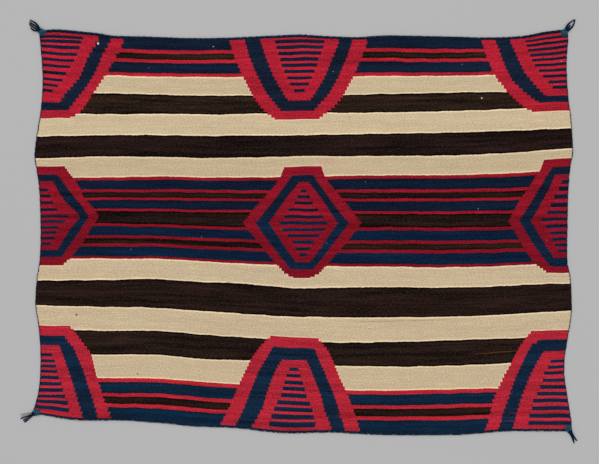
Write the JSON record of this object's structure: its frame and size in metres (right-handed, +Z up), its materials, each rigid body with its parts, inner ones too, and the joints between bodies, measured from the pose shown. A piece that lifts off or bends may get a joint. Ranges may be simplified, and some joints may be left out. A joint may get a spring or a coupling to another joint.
{
  "type": "chief blanket",
  "caption": "Broad wool tapestry blanket lying flat, with cream and dark stripes, stepped diamonds, twined edge cords and small corner tassels.",
  "frame": {"origin": "on the surface it lies on, under the middle of the whole blanket with its tassels", "axes": "+X along the width, the way the stripes run; +Y along the warps, towards the top edge of the picture; +Z up off the floor"},
  "size_m": [1.9376, 1.478, 0.006],
  "materials": {
    "web": "matt wool, woven in cream, brown, red and indigo",
    "edge_cord": "matt plied wool",
    "tassel_yarn": "matt plied wool"
  },
  "bodies": {
    "root": {"blanket": "web", "cord_top": "edge_cord", "cord_right": "edge_cord", "cord_bottom": "edge_cord", "cord_left": "edge_cord", "tassel_top_left": "tassel_yarn", "tassel_top_right": "tassel_yarn", "tassel_bottom_left": "tassel_yarn", "tassel_bottom_right": "tassel_yarn"}
  },
  "joints": []
}
